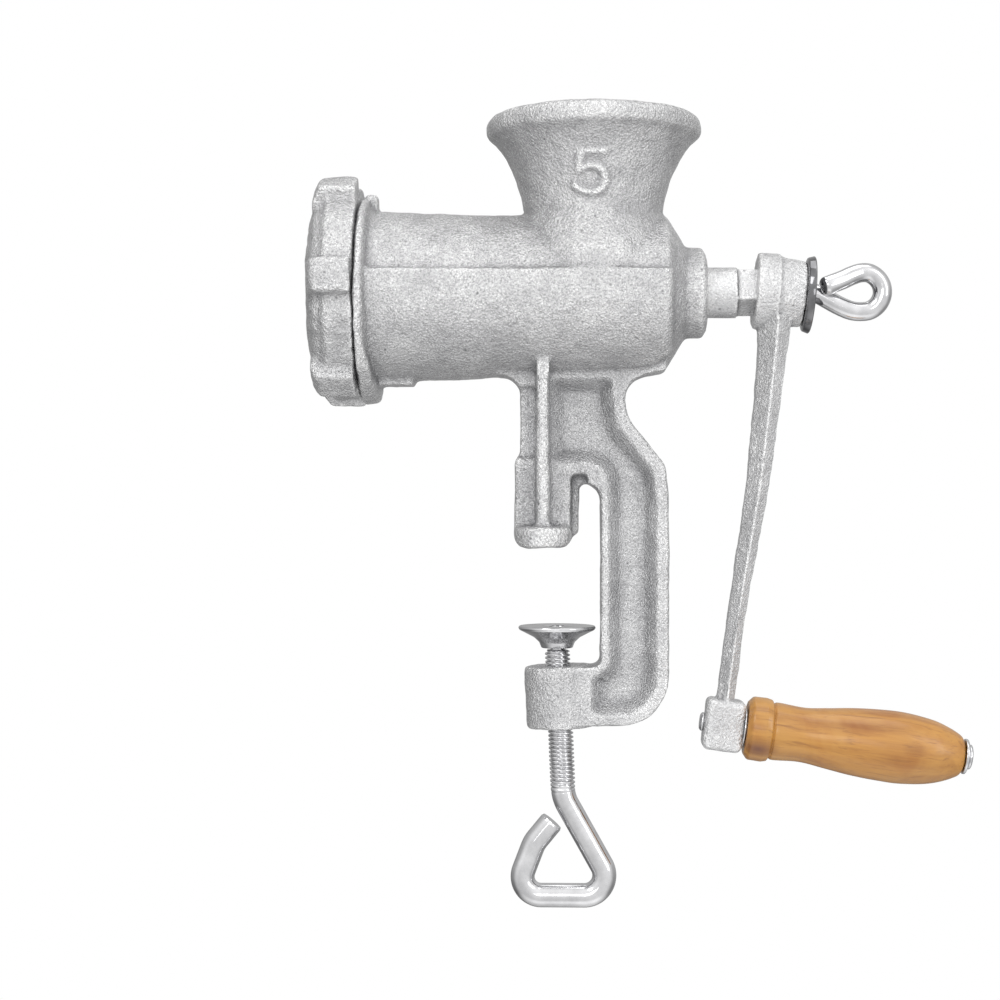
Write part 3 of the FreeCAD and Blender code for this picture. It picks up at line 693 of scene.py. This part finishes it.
def clamp_screw():
    """The rod from the swivel down through the thread and round the loop handle."""
    centre, _ = evenly(rounded([(0, CLAMP_TOP), (0, -36.7, 14), (18.8, -73.5, 7.4), (-19.4, -72.0, 6.8),
                                (-11.3, -53.1, 12), (-4.4, -45.4)], 0.2), 0.19)
    path = np.stack([centre[:, 0], np.zeros(len(centre)), centre[:, 1]], axis=1)
    lengths = np.concatenate([[0], np.cumsum(np.linalg.norm(np.diff(path, axis=0), axis=1))])
    thread_length = CLAMP_TOP - THREAD_LOW

    def radius(i, angles):
        along = lengths[i]
        end = lengths[-1] - along
        fade = np.clip((thread_length - along) / RUN_OUT, 0, 1)
        crest = CLAMP_ROD_R + (THREAD_R - CLAMP_ROD_R) * fade
        turn = (along / THREAD_PITCH + angles / (2 * math.pi)) % 1.0
        groove = np.clip(1.35 - np.abs(turn - 0.5) * 4.2, 0, 1)
        r = crest - THREAD_DEPTH * fade * groove
        chamfer = min(along - CHAMFER, 0.0)
        blunt = math.sqrt(max(0.0, BLUNT_LENGTH ** 2 - end ** 2)) / 2
        return r + chamfer - blunt

    rod = sweep("clamp_screw_rod", path, radius, place_along("clamp_turn"), 64)
    swivel_profile = [(CLAMP_TOP - 1.0, 0), (CLAMP_TOP - 1.0, SWIVEL_R), (SWIVEL_TOP, SWIVEL_R, 0.5),
                      (SWIVEL_TOP, 0)]
    swivel = lathe("clamp_screw_swivel", swivel_profile, place_along("clamp_turn"), 64)
    return shade_smooth(rod, 50), shade_smooth(swivel, 40)


rod, swivel = clamp_screw()
stands_for(rod, "clamp_screw")
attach(swivel, "clamp_screw")
swivel.data.materials.append(MATERIALS["plated_steel"])


def clamp_pad():
    """Dished pad, its rim rolled thin and its underside drawn down to the swivel."""
    low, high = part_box("clamp_pad")
    middle = (low + high) / 2
    place = Matrix.Translation(Vector((middle.x, middle.y, high.z))) @ Matrix.Scale(MM, 4)
    rim = (high.x - low.x) / 2 / MM
    hole = SWIVEL_R + 0.4
    profile = [(-1.6, hole), (-1.6, 3.6), (0, 4.2, 0.8), (0, rim - 0.4, 0.35), (-0.7, rim, 0.35),
               (-1.5, rim - 0.5, 0.4), (-2.6, 11.5, 3.0), (-4.2, 8.4, 3.0), (-6.0, 6.5, 1.5),
               (-8.1, 5.7, 0.6), (-8.1, hole)]
    return shade_smooth(lathe("clamp_pad_disc", profile, place, 160, True), 35)


stands_for(clamp_pad(), "clamp_pad")


# ---- eye screw and dished washer ----------------------------------------------------------------
EYE_ROD_R = 3.45
EYE_SHANK_R = 3.95


def crank_eye_screw():
    """The screw's shank and its rod, bent round into an eye whose end lies against the neck."""
    place = Matrix.Translation(Vector((0, 0, AXIS_Z)) * MM) @ Matrix.Scale(MM, 4)
    corners = [(95.6, 0, 0), (97.8, 0, 0), (100.2, 0, -0.7), (103.6, 0, -2.6), (107.6, 0, -4.8),
               (111.6, 0, -6.5), (115.2, 0, -7.0), (118.8, 0, -6.5), (121.6, -0.2, -4.4), (123.1, -0.4, -1.2),
               (122.9, -0.6, 2.2), (121.2, -0.8, 5.0), (118.4, -1.2, 6.8), (115.2, -1.8, 6.9),
               (111.8, -2.8, 5.8), (108.2, -4.2, 4.1), (104.2, -5.6, 2.5), (100.4, -6.6, 1.0)]
    path, at = evenly(spline(corners, 12), 0.3)

    def radius(i, angles):
        end = at[-1] - at[i]
        tip = math.sqrt(max(0.0, 1 - (1 - min(end / 2.2, 1.0)) ** 2)) if end < 2.2 else 1.0
        return np.full(len(angles), EYE_ROD_R * (0.25 + 0.75 * tip))

    eye = sweep("crank_eye_loop", path, radius, place, 56)
    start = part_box("crank_eye_screw")[0].x / MM
    axis_place = place @ Matrix(((0, 0, 1, 0), (0, 1, 0, 0), (-1, 0, 0, 0), (0, 0, 0, 1)))
    shank_profile = [(start, 0), (start, EYE_SHANK_R - 0.6), (start + 0.6, EYE_SHANK_R),
                     (96.8, EYE_SHANK_R, 0.3), (97.0, EYE_ROD_R - 0.05), (97.0, 0)]
    shank = lathe("crank_eye_shank", shank_profile, axis_place, 64)
    return shade_smooth(eye, 60), shade_smooth(shank, 40)


eye, shank = crank_eye_screw()
stands_for(eye, "crank_eye_screw")
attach(shank, "eye_screw")
shank.data.materials.append(MATERIALS["plated_steel"])


def crank_washer():
    """Dished washer, its chrome coloured dark as a painted reflection, its rim turned up away from the hub."""
    profile = [(8.5, 5.0), (8.5, 12.0, 1.0), (9.0, 13.4, 0.6), (11.2, 14.1, 0.3), (11.6, 13.7, 0.2),
               (10.9, 12.2, 1.0), (10.5, 8.0, 1.0), (10.4, 5.0)]
    return shade_smooth(lathe("crank_washer_dish", profile, place_on_shaft(HUB_RAKE), 160, True, 0.15), 30)


# the washer gets the dark chrome, a painted dark reflection
stands_for(crank_washer(), "crank_washer", CHROME_PAINTED_DARK_REFLECTION)


# ---- grip ---------------------------------------------------------------------------------------
PIN_R = 3.0
GRIP_START = 7.9
GRIP_END = 87.0


def grip_pieces():
    """The pin, its washers and the turned grip, all on the grip's axis."""
    place = place_along("grip_turn")
    pin_hole = PIN_R + 0.05
    pin = lathe("grip_pin_rivet", [(-8.9, 0), (-8.9, 2.6, 0.8), (-7.4, 4.4, 0.6), (-7.35, PIN_R),
                                   (GRIP_END + 1.7, PIN_R), (GRIP_END + 1.75, 5.4, 0.8),
                                   (GRIP_END + 3.2, 4.2, 1.2), (GRIP_END + 4.0, 0)], place, 96)
    inner = lathe("grip_inner_disc", [(6.95, pin_hole), (6.95, 7.5, 0.2), (7.55, 7.5, 0.2), (7.55, pin_hole)],
                  place, 96, True)
    outer = lathe("grip_end_disc", [(GRIP_END + 0.35, pin_hole), (GRIP_END + 0.35, 6.4, 0.4),
                                    (GRIP_END + 1.55, 6.4, 0.4), (GRIP_END + 1.55, pin_hole)],
                  place, 96, True)
    swell = spline([(17.4, 10.1), (19.2, 10.5), (28.5, 9.95), (37, 10.9), (47, 12.2), (58, 13.0), (66, 12.9),
                    (75, 11.6), (81, 9.7), (85.4, 7.6), (GRIP_END - 0.3, 6.2), (GRIP_END, 5.6)], 8)
    collar = rounded([(GRIP_START, PIN_R + 0.08), (GRIP_START, 9.6, 0.6), (9.6, 11.6, 1.6), (14.6, 11.7, 1.4),
                      (16.6, 11.2, 0.8), (17.2, 10.0)], 0.2)
    profile = [tuple(p) for p in collar] + [tuple(p) for p in swell] + [(GRIP_END, PIN_R + 0.08)]
    wood = lathe("wood_grip_turned", profile, place, 200, True)
    low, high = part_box("wood_grip")
    roughen(wood, [(22, 0.18), (7, 0.06)], low, high)
    return pin, inner, outer, wood


pin, inner, outer, wood = grip_pieces()
stands_for(shade_smooth(pin, 40), "grip_pin")
stands_for(shade_smooth(inner, 40), "grip_inner_washer")
stands_for(shade_smooth(outer, 40), "grip_end_washer")
stands_for(shade_smooth(wood, 50), "wood_grip")


# ---- stage, light and camera --------------------------------------------------------------------
FLOOR_R = 4                # metres, as all lengths of the stage
FLOOR_SIDES = 96
WALL_R = 9
LOOK_AT = (0, 0, 0.03)
WORLD_BASE = 0.16
# brightness added to the world along an axis: from this coordinate, up to that one, and how much
WORLD_RAMPS = [("Y", 0.25, -0.65, 0.60), ("Z", -0.7, 0.9, 0.42), ("X", -0.6, 0.6, 0.16),
               ("Z", -0.6, -0.97, 0.55), ("X", -0.55, -1.0, 0.12)]


def glowing(name, color, strength):
    material = bpy.data.materials.new(name)
    material.use_nodes = True
    tree = material.node_tree
    tree.nodes.remove(tree.nodes["Principled BSDF"])
    light = tree.nodes.new("ShaderNodeEmission")
    light.inputs["Color"].default_value = (*color, 1)
    light.inputs["Strength"].default_value = strength
    tree.links.new(light.outputs[0], tree.nodes["Material Output"].inputs["Surface"])
    return material


def pale_floor():
    """A wide pale disc just under the object and a far pale wall round it, both seen by the camera only."""
    glow = glowing("studio_white", (1, 1, 1), 1.0)
    floor_z = CAD_BOX[0].z - 1.5 * MM
    turns = [2 * math.pi * k / FLOOR_SIDES for k in range(FLOOR_SIDES)]
    ring = [(FLOOR_R * math.cos(turn), FLOOR_R * math.sin(turn), floor_z) for turn in turns]
    floor = new_object("floor", ring, [list(range(FLOOR_SIDES))])
    wall_profile = [(-WALL_R, 0), (-WALL_R, WALL_R, 3), (WALL_R, WALL_R, 3), (WALL_R, 0)]
    wall = lathe("wall", wall_profile, Matrix.Identity(4), 64, False, 0.5)
    for obj in (floor, wall):
        obj.data.materials.append(glow)
        obj.visible_diffuse = False
        obj.visible_glossy = False
        obj.visible_transmission = False
        obj.visible_shadow = False


def softbox(name, place, size, power):
    """A rectangular lamp at place, turned to the middle of the object."""
    light = bpy.data.lights.new(name, "AREA")
    light.shape = "RECTANGLE"
    light.size, light.size_y = size
    light.energy = power
    obj = bpy.data.objects.new(name, light)
    obj.location = place
    obj.rotation_euler = (Vector(LOOK_AT) - Vector(place)).to_track_quat("-Z", "Y").to_euler()
    SCENE.collection.objects.link(obj)
    return obj


pale_floor()
softbox("key", (-0.9, -1.1, 1.3), (0.7, 0.7), 6.0)
softbox("top", (0.1, 0.1, 1.5), (1.4, 0.8), 5.0)
softbox("fill", (1.2, -1.0, 0.5), (0.5, 1.2), 4.0)
softbox("front", (-0.2, -1.6, 0.25), (0.8, 0.5), 2.5)


def studio_world():
    """Soft light from all round, strongest from in front, above and straight below, as in a light tent."""
    world = bpy.data.worlds.new("studio")
    SCENE.world = world
    world.use_nodes = True
    tree = world.node_tree
    direction = tree.nodes.new("ShaderNodeTexCoord")
    split = tree.nodes.new("ShaderNodeSeparateXYZ")
    tree.links.new(direction.outputs["Generated"], split.inputs[0])
    total = None
    for axis, dark, bright, gain in WORLD_RAMPS:
        ramp = tree.nodes.new("ShaderNodeMapRange")
        ramp.interpolation_type = "SMOOTHSTEP"
        ramp.inputs["From Min"].default_value = dark
        ramp.inputs["From Max"].default_value = bright
        ramp.inputs["To Max"].default_value = gain
        tree.links.new(split.outputs[axis], ramp.inputs["Value"])
        add = tree.nodes.new("ShaderNodeMath")
        tree.links.new(ramp.outputs["Result"], add.inputs[0])
        if total is None:
            add.inputs[1].default_value = WORLD_BASE
        else:
            tree.links.new(total, add.inputs[1])
        total = add.outputs["Value"]
    tree.links.new(total, tree.nodes["Background"].inputs["Strength"])
    tree.nodes["Background"].inputs["Color"].default_value = (1, 1, 1, 1)


studio_world()

CAMERA_YAW = math.radians(2.0)
CAMERA_DISTANCE = 0.696
CAMERA_ASIDE = 0.016
CAMERA_HEIGHT = 0.017
SENSOR = 36
LENS_FACTOR = 1.9

camera = bpy.data.objects.new("camera", bpy.data.cameras.new("camera"))
SCENE.collection.objects.link(camera)
camera.data.sensor_width = SENSOR
camera.data.lens = SENSOR * LENS_FACTOR
cosine, sine = math.cos(CAMERA_YAW), math.sin(CAMERA_YAW)
camera.location = (-CAMERA_ASIDE * cosine + CAMERA_DISTANCE * sine,
                   -CAMERA_ASIDE * sine - CAMERA_DISTANCE * cosine, CAMERA_HEIGHT)
camera.rotation_euler = (math.pi / 2, 0, CAMERA_YAW)
SCENE.camera = camera
SCENE.view_settings.view_transform = "Standard"
